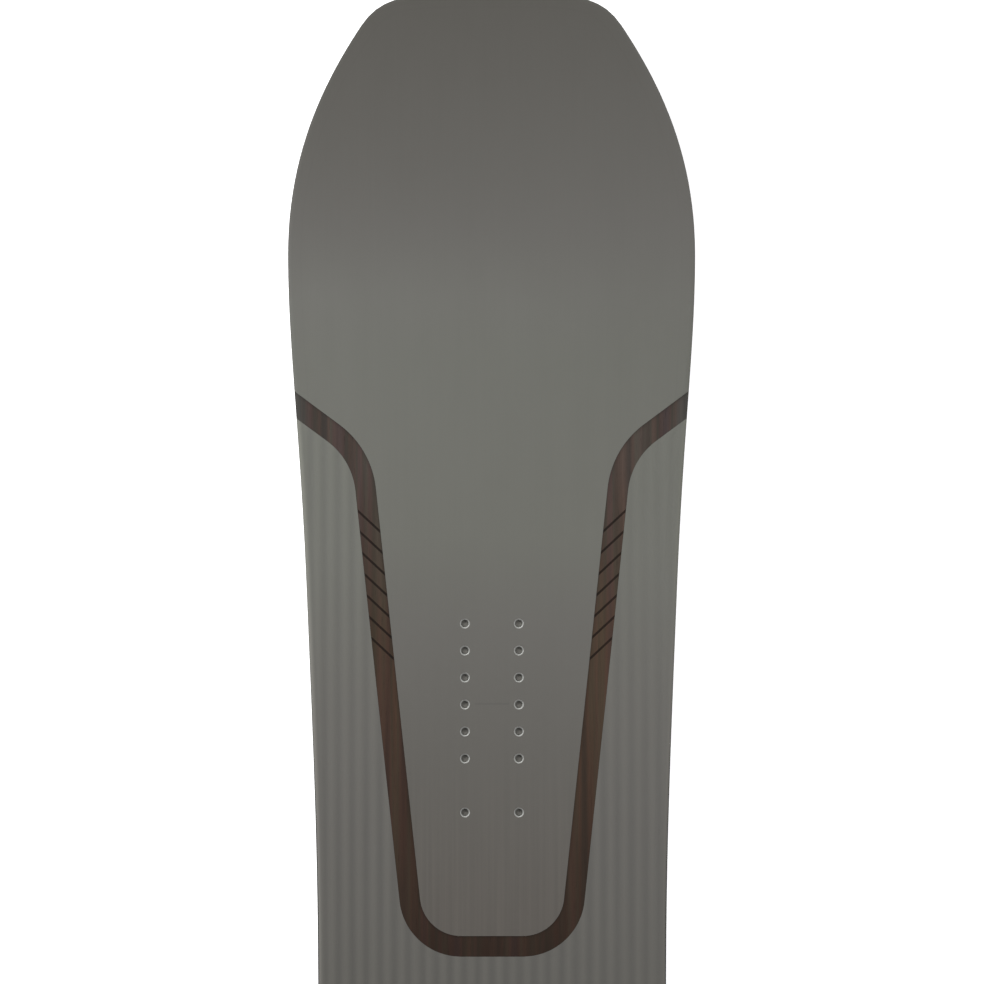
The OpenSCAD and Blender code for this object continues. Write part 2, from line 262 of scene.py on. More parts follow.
FOOT_INSET = 0.05 * MM  # distance of the foot of the sides from the border
HEAD_INSET = 0.25 * MM  # and of their head, in nose and tail
WAIST_LEAN = 0.55 * MM  # further distance of their head at the waist
TUCK = 0.04 * MM  # how far the upper laminate stays back under the topsheet
LEAN_ZONE = (330 * MM, 230 * MM)  # where the lean starts, and over what length it grows
ROLL_W = 2.6 * MM  # width over which the topsheet rolls off at its border
ROLL = 0.48 * MM
END_ROLL = 0.4  # share of the roll-off that is left in nose and tail
ROLL_ZONE = (500 * MM, 100 * MM)
EDGE_STRIPS = np.array((0, 0.3, 0.9, 1.8)) * MM  # narrow strips along every edge of a skin
STRIP_REACH = 1.8 * EDGE_STRIPS[-1]  # distance from an edge at which even strips start
ROW_GAP = 0.25 * MM  # closest that two rows may lie
RIB = 0.08 * MM  # height of the ribs that the core strips leave in the topsheet
RIB_PITCH = 10.345 * MM
RIB_BORDER = (4 * MM, 3 * MM)  # distance from the border where they start, and the width of their fade
TONGUE_RIBS = 0.12  # share of their height in the middle of nose and tail
TONGUE_ZONE = (330 * MM, 170 * MM)
COLUMN = RIB_PITCH / 8
SLICE = 10 * MM  # length of the finer facets along the board
WELD = 2e-6  # corners of a new mesh that are closer than this become one
NODE_WELD = 1e-6  # and those of a CAD node
CUT_SNAP = 2e-7  # a cut takes over corners that are this close to it
FLAT_ANGLE = math.radians(0.02)  # faces closer than this are joined before slicing
BORDER_TOL = 0.08 * MM  # how close to its border a corner has to be to lean with it
HEAD_SHARE = 0.99  # corners above this share of the side's height are tucked in
GROOVE_FLOOR = (0.3, 0.7)  # share of the skin's thickness between which a groove's floor lies
SMOOTH_ANGLE = math.radians(28)
EDGE_SHADE_W = 0.3 * MM  # width of the painted shade along both edges of the band
BAND_SHADOW_W = 1.8 * MM  # width of the painted shadow along the edge that faces nose or tail


def towards_waist(y, zone):
    """0 beyond the start of a zone, and a smooth rise to 1 over its length."""
    start, length = zone
    return ease((start - np.abs(y)) / length)


def rib_share(y, ends):
    """How strongly the ribs show: all over the centre, and faintly in the middle of nose and tail."""
    return TONGUE_RIBS * towards_waist(y, TONGUE_ZONE) if ends else np.ones_like(y)


def lean(y):
    """How much further in the topsheet ends towards the waist than in nose and tail."""
    return WAIST_LEAN * towards_waist(y, LEAN_ZONE)


def film_half(y):
    """Half the width of the topsheet at y."""
    return half_width(y, HEAD_INSET) - lean(y)


def rolled_off(inset, y):
    """How far the top surface drops near the border: less in nose and tail than between them."""
    out = np.clip(1 - (inset - HEAD_INSET - lean(y)) / ROLL_W, 0, 1)
    return ROLL * out**2 * (END_ROLL + (1 - END_ROLL) * towards_waist(y, ROLL_ZONE))


def top_height(x, y, ends):
    """Height of the topsheet with its ribs and its rolled-off border."""
    inset = inset_of(np.stack([x, y], 1))[0]
    fade = ease((inset - RIB_BORDER[0]) / RIB_BORDER[1]) * rib_share(y, ends)
    ribs = fade * RIB / 2 * np.cos(2 * math.pi * x / RIB_PITCH)
    return height(on_core(UPPER_T + TOP_T), SMOOTH)(y) - rolled_off(inset, y) - ribs


def columns(left, right, count):
    """Places across one row: narrow strips at both ends and even ones between."""
    k = min(1.0, (right - left) / (4 * STRIP_REACH))
    even = np.linspace(left + STRIP_REACH * k, right - STRIP_REACH * k, count)
    return np.concatenate([left + EDGE_STRIPS * k, even, right - EDGE_STRIPS[::-1] * k])


def lane(rows, left, right, ends, walls):
    """A strip of skin along the board: faces and corners of its top, its underside and its walls."""
    count = int(max(right - left) / COLUMN) + 2
    x = np.array([columns(a, b, count) for a, b in zip(left, right)])
    y = np.repeat(rows[:, None], x.shape[1], 1)
    top = np.stack([x.ravel(), y.ravel(), top_height(x.ravel(), y.ravel(), ends)], 1)
    under = height(on_core(UPPER_T), SMOOTH)(rows)
    feet = [np.stack([side, rows, under], 1) for side in (left, right)]
    n, c = x.shape
    at = np.arange(n * c).reshape(n, c)
    foot_l, foot_r = n * c + np.arange(n), n * c + n + np.arange(n)
    faces = np.stack([at[:-1, :-1], at[:-1, 1:], at[1:, 1:], at[1:, :-1]], 2).reshape(-1, 4).tolist()
    faces += np.stack([foot_l[:-1], foot_l[1:], foot_r[1:], foot_r[:-1]], 1).tolist()
    if "left" in walls:
        faces += np.stack([at[:-1, 0], at[1:, 0], foot_l[1:], foot_l[:-1]], 1).tolist()
    if "right" in walls:
        faces += np.stack([at[1:, -1], at[:-1, -1], foot_r[:-1], foot_r[1:]], 1).tolist()
    if "first" in walls:
        faces.append([foot_l[0], foot_r[0], *at[0, ::-1]])
    if "last" in walls:
        faces.append([foot_r[-1], foot_l[-1], *at[-1]])
    return np.concatenate([top, *feet]), faces


def strip_rows(first, last, step, extra=()):
    """Rows from first to last, with narrow strips at both ends and some extra ones."""
    even = np.linspace(first, last, int((last - first) / step) + 2)
    near = np.concatenate([first + EDGE_STRIPS, last - EDGE_STRIPS, list(extra)])
    rows = np.unique(np.concatenate([even, near[(near > first) & (near < last)]]))
    keep = [rows[0]]
    for r in rows[1:-1]:
        if min(r - keep[-1], rows[-1] - r) > ROW_GAP:
            keep.append(r)
    return np.array([*keep, rows[-1]])


def mesh_of(name, bm):
    """Turns a working mesh into a lasting one."""
    mesh = bpy.data.meshes.new(name)
    bm.to_mesh(mesh)
    bm.free()
    return mesh


def corners_of(mesh):
    """The places of a mesh's corners, one row each."""
    co = np.empty(len(mesh.vertices) * 3, np.float32)
    mesh.vertices.foreach_get("co", co)
    return co.reshape(-1, 3).astype(float)


def linked(name, data):
    """A new object in the scene, of a mesh, a light or a camera."""
    thing = bpy.data.objects.new(name, data)
    bpy.context.scene.collection.objects.link(thing)
    return thing


def welded(name, parts):
    """One mesh of several lots of corners and faces, which meet at shared corners."""
    bm = bmesh.new()
    for corners, faces in parts:
        made = [bm.verts.new(c) for c in corners]
        for f in faces:
            bm.faces.new([made[i] for i in f])
    bmesh.ops.remove_doubles(bm, verts=bm.verts[:], dist=WELD)
    bmesh.ops.recalc_face_normals(bm, faces=bm.faces[:])
    return linked(name, mesh_of(name, bm))


def mirrored(part):
    """The same corners and faces at the other end of the board."""
    corners, faces = part
    return corners * (1, -1, 1), [f[::-1] for f in faces]


def carved(piece, cutters):
    """Takes the cutters out of a piece."""
    tool = welded("cutter", cutters)
    cut = piece.modifiers.new("cut", "BOOLEAN")
    cut.operation, cut.solver, cut.object = "DIFFERENCE", "EXACT", tool
    finished = piece.evaluated_get(bpy.context.evaluated_depsgraph_get())
    mesh = bpy.data.meshes.new_from_object(finished)
    piece.modifiers.clear()
    piece.data = mesh
    bpy.data.objects.remove(tool)


def cylinder(x, y, r, z0, z1, sides=48):
    """Corners and faces of an upright cylinder."""
    a = 2 * math.pi * np.arange(sides) / sides
    ring = np.stack([x + r * np.cos(a), y + r * np.sin(a)], 1)
    corners = np.concatenate([np.insert(ring, 2, z, axis=1) for z in (z0, z1)])
    walls = [[i, (i + 1) % sides, (i + 1) % sides + sides, i + sides] for i in range(sides)]
    return corners, [*walls, list(range(sides))[::-1], list(range(sides, 2 * sides))]


def dressed(piece, node, low, high):
    """Finishes a piece's mesh: the attributes its material reads, smooth shading and its body."""
    mesh = piece.data
    x, y, z = corners_of(mesh).T
    bottom, top = height(low, SMOOTH)(y), height(high, SMOOTH)(y)
    share = (z - bottom) / (top - bottom)
    inset = inset_of(np.stack([x, y], 1))[0]
    add_attribute(mesh, "inset", inset / MM)
    sunk = (share > GROOVE_FLOOR[0]) & (share < GROOVE_FLOOR[1])
    add_attribute(mesh, "sunk", np.where(sunk, 1.0, 0.0))
    add_attribute(mesh, "band_edge_shade", band_edge_shade_of(np.abs(x), np.abs(y)))
    add_attribute(mesh, "band_shadow", band_shadow_of(np.abs(x), np.abs(y)))
    mesh.update()
    mesh.shade_smooth()
    mesh.set_sharp_from_angle(angle=SMOOTH_ANGLE)
    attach(piece, "root")
    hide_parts(node)
    return piece


def band_edge_shade_of(x, y):
    """1 along both edges of the inlaid band, falling to 0 a little way off: where shade is painted."""
    line = np.concatenate([band_line(0.0), [[0.0, BAND_FOOT[1]]]])
    gap = nearest_on(line, np.stack([x, y], 1))[0]
    return np.clip(1 - np.abs(np.hypot(*gap.T) - LANE_HALF) / EDGE_SHADE_W, 0, 1)


def band_shadow_of(x, y):
    """1 along the edge of the band that faces nose or tail, falling to 0 across a narrow strip: where a
    shadow is painted.
    """
    line = band_line(-LANE_HALF)
    line = np.concatenate([line, [[0.0, line[-1, 1]]]])
    gap = nearest_on(line, np.stack([x, y], 1))[0]
    return np.clip(1 - np.hypot(*gap.T) / BAND_SHADOW_W, 0, 1)


def add_attribute(mesh, name, values):
    """Stores one number for each corner, which a material can read."""
    layer = mesh.attributes.new(name, "FLOAT", "POINT")
    layer.data.foreach_set("value", np.asarray(values, np.float32))


def finely_cut(name, node):
    """A copy of a CAD node, whose flat faces are joined and then cut at regular planes."""
    bm = bmesh.new()
    bm.from_mesh(frame["nodes"][node].data)
    bmesh.ops.remove_doubles(bm, verts=bm.verts[:], dist=NODE_WELD)
    bmesh.ops.dissolve_limit(bm, angle_limit=FLAT_ANGLE, verts=bm.verts[:], edges=bm.edges[:])
    spots = [v.co.y for v in bm.verts]
    for place in np.arange(math.ceil(min(spots) / SLICE) * SLICE, max(spots), SLICE):
        everything = [*bm.verts, *bm.edges, *bm.faces]
        plane = {"plane_co": (0, place, 0), "plane_no": (0, 1, 0)}
        bmesh.ops.bisect_plane(bm, geom=everything, dist=CUT_SNAP, **plane)
    return mesh_of(name, bm)


def lean_in(co, border):
    """Moves the corners at a piece's border in, the more the higher they lie."""
    y = co[:, 1]
    inset, inward = inset_of(co[:, :2])
    foot, head = height(fixed(CORE_D), SMOOTH)(y), height(on_core(0), SMOOTH)(y)
    up = np.clip((co[:, 2] - foot) / (head - foot), 0, 1)
    want = FOOT_INSET + (HEAD_INSET + lean(y) - FOOT_INSET) * up + TUCK * (up > HEAD_SHARE)
    shift = np.where(np.abs(inset - border) < BORDER_TOL, want - inset, 0)
    co[:, :2] += shift[:, None] * inward


def refined(name, node, low, high, border=None):
    """A finer copy of a CAD node, moved from the frame's facets onto the smooth profile.

    low and high give the depths of its two faces. border is its distance from the outline: there
    its side leans in, as the sides of the board do.
    """
    mesh = finely_cut(name, node)
    co = corners_of(mesh)
    y = co[:, 1]
    f_low, f_high = height(low, FACETED)(y), height(high, FACETED)(y)
    s_low, s_high = height(low, SMOOTH)(y), height(high, SMOOTH)(y)
    share = np.clip((co[:, 2] - f_low) / (f_high - f_low), 0, 1)
    co[:, 2] = s_low + share * (s_high - s_low)
    if border is not None:
        lean_in(co, border)
    mesh.vertices.foreach_set("co", co.astype(np.float32).ravel())
    return dressed(linked(name, mesh), node, low, high)


# ---------- topsheet and inlay ----------

SKIN = (on_core(UPPER_T), on_core(UPPER_T + TOP_T))
HOLE_R = 3.7 * MM
COLUMN_X = 20 * MM
FIRST_ROW = 164.5 * MM
ROW_STEP = 7 * MM
HOLE_TALL = 30 * MM  # height of the cylinders that cut the holes
TIP = quarter_line(HEAD_INSET)[:, 1].max()
TIP_TURN = 700 * MM  # beyond this, rows follow the points of the outline
THIN = 0.1 * MM  # narrowest end of a piece of film
ARM_END = (400 * MM, 480 * MM)  # between these, an arm of the centre field ends
FINE_COUNT = 4001  # places tried to find where two lines meet
LANE_EDGE = (0.3 * MM, 1.2 * MM)  # narrow strips along the edges of the band
LANE_COUNT = 9  # places between them
LEG_POINTS = 40  # places along a leg of the band
SHORT_POINTS = 8  # places along its diagonal, and along half of its crossbar
GROOVES = 7
GROOVE_Y = 380.4 * MM
GROOVE_PITCH = 15.73 * MM
GROOVE_HALF = 0.8 * MM
GROOVE_T = 0.25 * MM  # depth
GROOVE_CLEAR = 2 * MM  # how far the cutting bar stands proud
GROOVE_TURN = math.radians(43)


def curve_rows(*lines):
    """The rows at which curved edges turn."""
    return np.concatenate([line[:, 1] for line in lines])


def end_field(name, node, end):
    """The topsheet of nose or tail, with its tongue between the legs of the band."""
    inner = band_line(-LANE_HALF)
    flat_y = inner[-1, 1]
    corner = band_edge(-LANE_HALF)[:1]
    tip_line = quarter_line(HEAD_INSET, ARC_POINTS)
    turns = curve_rows(corner, inner[1:], tip_line[tip_line[:, 1] > TIP_TURN])
    rows = strip_rows(flat_y, TIP - THIN, ROW_STEP, turns)
    reach = np.minimum(band_x(rows, -LANE_HALF), film_half(rows))
    part = lane(rows, -reach, reach, True, ("left", "right", "first", "last"))
    piece = welded(name, [part if end > 0 else mirrored(part)])
    level = float(base_z(FIRST_ROW))
    spots = [(side * COLUMN_X, end * (FIRST_ROW + r * PITCH)) for side in (-1, 1) for r in ROWS]
    carved(piece, [cylinder(*spot, HOLE_R, level, level + HOLE_TALL) for spot in spots])
    return dressed(piece, node, *SKIN)


def arm_width(y):
    """Width of the centre field beside a leg of the band."""
    return film_half(y) - band_x(y, LANE_HALF)


def centre_field(name, node):
    """The topsheet between the two bands: a middle block and an arm along each leg."""
    outer = band_line(LANE_HALF)
    flat_x, flat_y = outer[-1]
    middle = strip_rows(-flat_y, flat_y, ROW_STEP)
    border = film_half(middle)
    level = np.full_like(middle, flat_x)
    parts = [
        lane(middle, -border, -level, False, ("left",)),
        lane(middle, -level, level, False, ("first", "last")),
        lane(middle, level, border, False, ("right",)),
    ]
    far = np.linspace(*ARM_END, FINE_COUNT)
    end = far[arm_width(far) > THIN][-1]
    rows = strip_rows(flat_y, end, ROW_STEP, curve_rows(outer[1:]))
    for side in (-1, 1):
        edges = [side * band_x(rows, LANE_HALF), side * film_half(rows)]
        arm = lane(rows, *sorted(edges, key=lambda e: e[0]), False, ("left", "right", "last"))
        parts += [arm, mirrored(arm)]
    return dressed(welded(name, parts), node, *SKIN)


def band_edge(off):
    """An edge of the band's right half, which starts where it meets the border."""
    line = band_line(off)
    reach = np.linspace(0, 1, FINE_COUNT)[:, None]
    arm = line[0] + reach * (line[1] - line[0])
    inside = arm[film_half(arm[:, 1]) >= arm[:, 0]][0]
    straight = inside + np.linspace(0, 1, SHORT_POINTS)[:-1, None] * (line[1] - inside)
    upper, lower = line[1 : ARC_POINTS + 1], line[ARC_POINTS + 1 :]
    leg = upper[-1] + np.linspace(0, 1, LEG_POINTS)[1:-1, None] * (lower[0] - upper[-1])
    bar = line[-1] * (1, 0) * np.linspace(1, 0, SHORT_POINTS)[1:, None] + line[-1] * (0, 1)
    return np.concatenate([straight, upper, leg, lower, bar])


def inlay_band(name, node, end):
    """The wooden band, swept from border to border, with slanted grooves in its legs."""
    width = 2 * LANE_HALF
    even = np.linspace(LANE_EDGE[1], width - LANE_EDGE[1], LANE_COUNT)
    across = np.array([0, LANE_EDGE[0], *even, width - LANE_EDGE[0], width]) / width
    inner, outer = band_edge(-LANE_HALF), band_edge(LANE_HALF)
    right = inner[:, None] + across[None, :, None] * (outer - inner)[:, None]
    plan = np.concatenate([right * (-1, 1), right[-2::-1]])
    n, c = plan.shape[:2]
    x, y = plan.reshape(-1, 2).T
    drop = rolled_off(inset_of(plan.reshape(-1, 2))[0], y)
    top = np.stack([x, y, height(SKIN[1], SMOOTH)(y) - drop], 1)
    low = np.stack([x, y, height(SKIN[0], SMOOTH)(y)], 1)
    at = np.arange(n * c).reshape(n, c)
    faces = np.stack([at[:-1, :-1], at[:-1, 1:], at[1:, 1:], at[1:, :-1]], 2).reshape(-1, 4).tolist()
    under = [[i + n * c for i in f[::-1]] for f in faces]
    loop = [*at[0], *at[1:, -1], *at[-1, -2::-1], *at[-2:0:-1, 0]]
    walls = [[b, a, a + n * c, b + n * c] for a, b in zip(loop, loop[1:] + loop[:1])]
    part = (np.concatenate([top, low]), faces + under + walls)
    piece = welded(name, [part if end > 0 else mirrored(part)])
    carved(piece, [groove_bar(side, k, end) for side in (-1, 1) for k in range(GROOVES)])
    return dressed(piece, node, *SKIN)


def groove_bar(side, k, end):
    """The bar that cuts one groove: it crosses the leg at a slant and follows its surface."""
    y = GROOVE_Y - k * GROOVE_PITCH
    leg = BAND_TOP - BAND_FOOT
    x = BAND_TOP[0] + (y - BAND_TOP[1]) * leg[0] / leg[1]
    cos, sin = math.cos(GROOVE_TURN), math.sin(GROOVE_TURN)
    along, aside = np.array((cos, sin)) * 2 * LANE_HALF, np.array((-sin, cos)) * GROOVE_HALF
    signs = ((-1, -1), (1, -1), (1, 1), (-1, 1))
    plan = [np.array((x, y)) + i * along + j * aside for i, j in signs]
    top = [float(height(SKIN[1], SMOOTH)(p[1])) for p in plan]
    corners = []
    for lift in (-GROOVE_T, GROOVE_CLEAR):
        corners += [(side * p[0], end * p[1], z + lift) for p, z in zip(plan, top)]
    faces = [[3, 2, 1, 0], [4, 5, 6, 7], [0, 1, 5, 4], [1, 2, 6, 5], [2, 3, 7, 6], [3, 0, 4, 7]]
    return np.array(corners), faces


# ---------- inserts with real threads ----------

BARREL_R = 4.0 * MM
FLANGE_R = 9.0 * MM
FLANGE_T = 1.0 * MM
THREAD = 1.0 * MM  # pitch of the thread
THREAD_R = (2.5 * MM, 2.98 * MM)  # crest and root
THREAD_SHAPE = (1.3, 0.1)  # steepness of its flanks, and how far its crest is flattened
FLOOR_T = 0.9 * MM
MOUTH = 0.55 * MM  # depth of the rounded mouth
MOUTH_FLAT = 0.35 * MM  # width of the flat round it
MOUTH_STEPS = 7
SOFT = 0.2 * MM  # width of the bevels on the outside
FOOT_GAP = 0.15 * MM  # clearance under an insert
HEAD_GAP = 0.06 * MM  # how deep its head lies under the upper laminate's top
TURN_STEPS = 40  # points round an insert
THREAD_STEPS = 6  # points along one pitch of thread


def outer_rows(z0, z1):
    """Radius and height of one insert's outside, from its foot to the flat of its head."""
    neck = z0 + FLANGE_T
    return [
        (FLANGE_R - SOFT, z0),
        (FLANGE_R, z0 + SOFT),
        (FLANGE_R, neck - SOFT),
        (FLANGE_R - SOFT, neck),
        (BARREL_R + SOFT, neck),
        (BARREL_R, neck + SOFT),
        (BARREL_R, z1 - SOFT),
        (BARREL_R - SOFT, z1),
    ]


def mouth_rows(z1):
    """The rounded mouth, which rolls over from the flat of the head into the bore."""
    reach = BARREL_R - MOUTH_FLAT - THREAD_R[0]
    turn = np.linspace(0, math.pi / 2, MOUTH_STEPS + 1)[:-1]
    radii = THREAD_R[0] + reach * (1 - np.sin(turn))
    levels = z1 - MOUTH * (1 - np.cos(turn))
    return list(zip(radii.tolist(), levels.tolist()))


def insert_mesh(bm, deep, x, y, z0, z1):
    """Adds one insert: a closed solid whose bore carries a helical thread. deep marks the bore."""
    turns = np.arange(TURN_STEPS) / TURN_STEPS
    angle = 2 * math.pi * turns
    wall = outer_rows(z0, z1) + mouth_rows(z1)
    rows = [[(x + r * math.cos(a), y + r * math.sin(a), z) for a in angle] for r, z in wall]
    top, floor = z1 - MOUTH, z0 + FLOOR_T
    count = int((top - floor) / THREAD * THREAD_STEPS)
    for k in range(count + 1):
        z = top - (top - floor) * k / count
        lead = min(1.0, k / THREAD_STEPS)
        wave = np.abs(((z / THREAD - turns) % 1.0) * 2 - 1)
        shape = np.clip(wave * THREAD_SHAPE[0] - THREAD_SHAPE[1], 0, 1)
        depth = THREAD_R[0] + (THREAD_R[1] - THREAD_R[0]) * lead * shape
        rows.append([(x + r * math.cos(a), y + r * math.sin(a), z) for r, a in zip(depth, angle)])
    rings = [[bm.verts.new(p) for p in row] for row in rows]
    for ring in rings[len(wall) :]:
        for corner in ring:
            corner[deep] = 1.0
    for lower, upper in zip(rings, rings[1:]):
        for i in range(TURN_STEPS):
            j = (i + 1) % TURN_STEPS
            bm.faces.new((lower[i], lower[j], upper[j], upper[i]))
    bm.faces.new(rings[0][::-1])
    bm.faces.new(rings[-1])


def inserts(name, node, end):
    """One pack of inserts, in the rows and columns that the frame has."""
    low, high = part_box(node)
    column = high.x - FLANGE_R
    first = (low.y if end > 0 else -high.y) + FLANGE_R
    bm = bmesh.new()
    deep = bm.verts.layers.float.new("deep")
    for side in (-1, 1):
        for row in ROWS:
            y = first + row * PITCH
            foot = float(base_z(y)) + CORE_D + FOOT_GAP
            head = float(base_z(y) + core_at(y)) + CORE_D + UPPER_T - HEAD_GAP
            insert_mesh(bm, deep, side * column, end * y, foot, head)
    mesh = mesh_of(name, bm)
    mesh.shade_smooth()
    mesh.set_sharp_from_angle(angle=SMOOTH_ANGLE)
    piece = linked(name, mesh)
    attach(piece, "root")
    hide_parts(node)
    return piece


# ---------- shader building blocks ----------

MOST_NOISE = (0.3, 0.7)  # nearly all values of a noise lie between these


class Shader:
    """A material that is built up node by node."""

    def __init__(self, name, roughness=0.5, metallic=0.0, **sockets):
        """Starts with a plain surface. Names of sockets have _ for a space."""
        self.material = bpy.data.materials.new(name)
        self.material.use_nodes = True
        self.tree = self.material.node_tree
        self.tree.nodes.clear()
        self.out = self.add("ShaderNodeOutputMaterial")
        self.body = self.add("ShaderNodeBsdfPrincipled")
        self.link(self.body.outputs[0], self.out.inputs[0])
        self.body.inputs["Roughness"].default_value = roughness
        self.body.inputs["Metallic"].default_value = metallic
        for socket, value in sockets.items():
            self.body.inputs[socket.replace("_", " ")].default_value = value
        self.place = self.add("ShaderNodeTexCoord").outputs["Object"]

    def add(self, kind, **settings):
        """A new node with some of its settings."""
        node = self.tree.nodes.new(kind)
        for key, value in settings.items():
            setattr(node, key, value)
        return node

    def link(self, source, target):
        """Joins two sockets."""
        self.tree.links.new(source, target)

    def feed(self, target, value):
        """Gives an input a plain value, or joins another node's output to it."""
        if isinstance(value, bpy.types.NodeSocket):
            self.link(value, target)
        else:
            target.default_value = value

    def axis(self, name):
        """One coordinate of the place on the board, in metres."""
        node = self.add("ShaderNodeSeparateXYZ")
        self.link(self.place, node.inputs[0])
        return node.outputs[name]

    def attribute(self, name):
        """A number that the mesh stores for each corner."""
        return self.add("ShaderNodeAttribute", attribute_name=name).outputs["Fac"]

    def math(self, operation, a, b=0.0):
        """One sum on one or two values."""
        node = self.add("ShaderNodeMath", operation=operation)
        for target, value in zip(node.inputs, (a, b)):
            self.feed(target, value)
        return node.outputs[0]

    def product(self, value, *others):
        """All the values multiplied."""
        for other in others:
            value = self.math("MULTIPLY", value, other)
        return value

    def total(self, value, *others):
        """All the values added."""
        for other in others:
            value = self.math("ADD", value, other)
        return value

    def size(self, value, centre=0.0):
        """How far a value is from a centre."""
        return self.math("ABSOLUTE", self.math("SUBTRACT", value, centre))

    def span(self, value, low, high, to_low=0.0, to_high=1.0, smooth=False):
        """Maps one range to another and clips it."""
        node = self.add("ShaderNodeMapRange", interpolation_type="SMOOTHSTEP" if smooth else "LINEAR")
        for target, v in zip(node.inputs, (value, low, high, to_low, to_high)):
            self.feed(target, v)
        return node.outputs[0]

    def around(self, noise, low, high):
        """Maps the usual range of a noise to another range."""
        return self.span(noise, *MOST_NOISE, low, high)

    def stretched(self, x, y, z, turn=0.0):
        """The place on the board, scaled apart for a texture."""
        node = self.add("ShaderNodeMapping")
        self.link(self.place, node.inputs["Vector"])
        node.inputs["Rotation"].default_value = (0, 0, turn)
        node.inputs["Scale"].default_value = (x, y, z)
        return node.outputs[0]

    def noise(self, x, y, z, detail=3.0, roughness=0.55, distortion=0.0, turn=0.0):
        """Cloudy noise with so many cells a metre along each axis, from 0 to 1."""
        node = self.add("ShaderNodeTexNoise")
        self.link(self.stretched(x, y, z, turn), node.inputs["Vector"])
        node.inputs["Scale"].default_value = 1.0
        node.inputs["Detail"].default_value = detail
        node.inputs["Roughness"].default_value = roughness
        node.inputs["Distortion"].default_value = distortion
        return node.outputs["Fac"]

    def ramp(self, value, *stops):
        """Colours along a value from 0 to 1: pairs of position and colour."""
        node = self.add("ShaderNodeValToRGB")
        band = node.color_ramp
        while len(band.elements) < len(stops):
            band.elements.new(0.5)
        for element, (position, colour) in zip(band.elements, stops):
            element.position = position
            element.color = (*colour, 1)
        self.link(value, node.inputs[0])
        return node.outputs[0]

    def mix(self, share, *colours, blend="MIX"):
        """A blend of two colours."""
        node = self.add("ShaderNodeMix", data_type="RGBA", blend_type=blend)
        self.feed(node.inputs[0], share)
        for target, colour in zip((node.inputs[6], node.inputs[7]), colours):
            self.feed(target, colour if isinstance(colour, bpy.types.NodeSocket) else (*colour, 1))
        return node.outputs[2]

    def shade(self, colour, factor):
        """A colour made lighter or darker by a factor."""
        node = self.add("ShaderNodeVectorMath", operation="SCALE")
        self.feed(node.inputs[0], colour)
        self.feed(node.inputs["Scale"], factor)
        return node.outputs[0]

    def bump(self, height, distance, strength=1.0):
        """Fine relief of the surface."""
        node = self.add("ShaderNodeBump")
        node.inputs["Strength"].default_value = strength
        node.inputs["Distance"].default_value = distance
        self.link(height, node.inputs["Height"])
        self.link(node.outputs[0], self.body.inputs["Normal"])

    def colour(self, value):
        """Sets the surface's colour."""
        self.link(value, self.body.inputs["Base Color"])

    def roughness(self, value):
        """Sets how dull the surface is."""
        self.link(value, self.body.inputs["Roughness"])


# ---------- materials ----------

# Colour of the film: pairs of distance from the middle of the board, in metres, and tone. Besides the
# film's own tone, the ramps hold painted light: a painted sheen where they are brightest, about 0.36 m
# from the middle, and painted shade where they grow darker away from there.
END_TONE_AND_SHEEN = (
    (0.08, (0.048, 0.041, 0.033)),
    (0.20, (0.050, 0.046, 0.038)),
    (0.30, (0.056, 0.053, 0.045)),
    (0.37, (0.060, 0.060, 0.048)),
    (0.50, (0.0545, 0.055, 0.0435)),
    (0.60, (0.0535, 0.0505, 0.0435)),
)
CENTRE_TONE_AND_SHEEN = (
    (0.05, (0.055, 0.052, 0.0445)),
    (0.15, (0.0555, 0.052, 0.045)),
    (0.25, (0.0585, 0.0555, 0.0475)),
    (0.36, (0.0635, 0.0635, 0.052)),
    (0.43, (0.060, 0.061, 0.0485)),
)
TONE_REACH = 0.8  # distance that the whole ramp of tones covers
RIB_SHADE = (-0.112, -0.085)  # depth of the painted shade and highlight along the ribs, at the left and at the right
SEAM = 9.8  # inset of the seam, in millimetres as all insets in materials
MARK_Y = 245 * MM  # where the plain stance mark is printed
MARK_SIZE = (13 * MM, 0.6 * MM)
MARK_SOFT = 0.2 * MM  # width of its soft border
MARK_DARK = 0.16


def painted_rib_shade(s, x, away, inset, ends):
    """Painted shade and highlight along the ribs, strongest near the waist and faint at the upper
    right.
    """
    wave = s.math("COSINE", s.product(x, 2 * math.pi / RIB_PITCH))
    depth = s.product(
        s.span(x, -0.13, 0.13, *RIB_SHADE),
        s.span(away, 0.12, 0.26, 1.38, 0.97, smooth=True),
        s.span(s.product(x, away), 0.024, 0.040, 1.0, 0.4, smooth=True),
    )
    start, width = (v / MM for v in RIB_BORDER)
    fade = s.span(inset, start, start + width)
    if ends:
        fade = s.product(fade, s.span(away, 0.16, 0.33, 0.09, 0.0, smooth=True))
    return s.product(wave, depth, fade)


def stance_mark(s, x, away):
    """A factor for the film's tone: 1 beside the plain stance mark, and less on it."""
    across = s.span(s.size(x), MARK_SIZE[0] - MARK_SOFT, MARK_SIZE[0], 1.0, 0.0)
    down = s.span(s.size(away, MARK_Y), MARK_SIZE[1], MARK_SIZE[1] + MARK_SOFT, 1.0, 0.0)
    return s.math("SUBTRACT", 1.0, s.product(across, down, MARK_DARK))


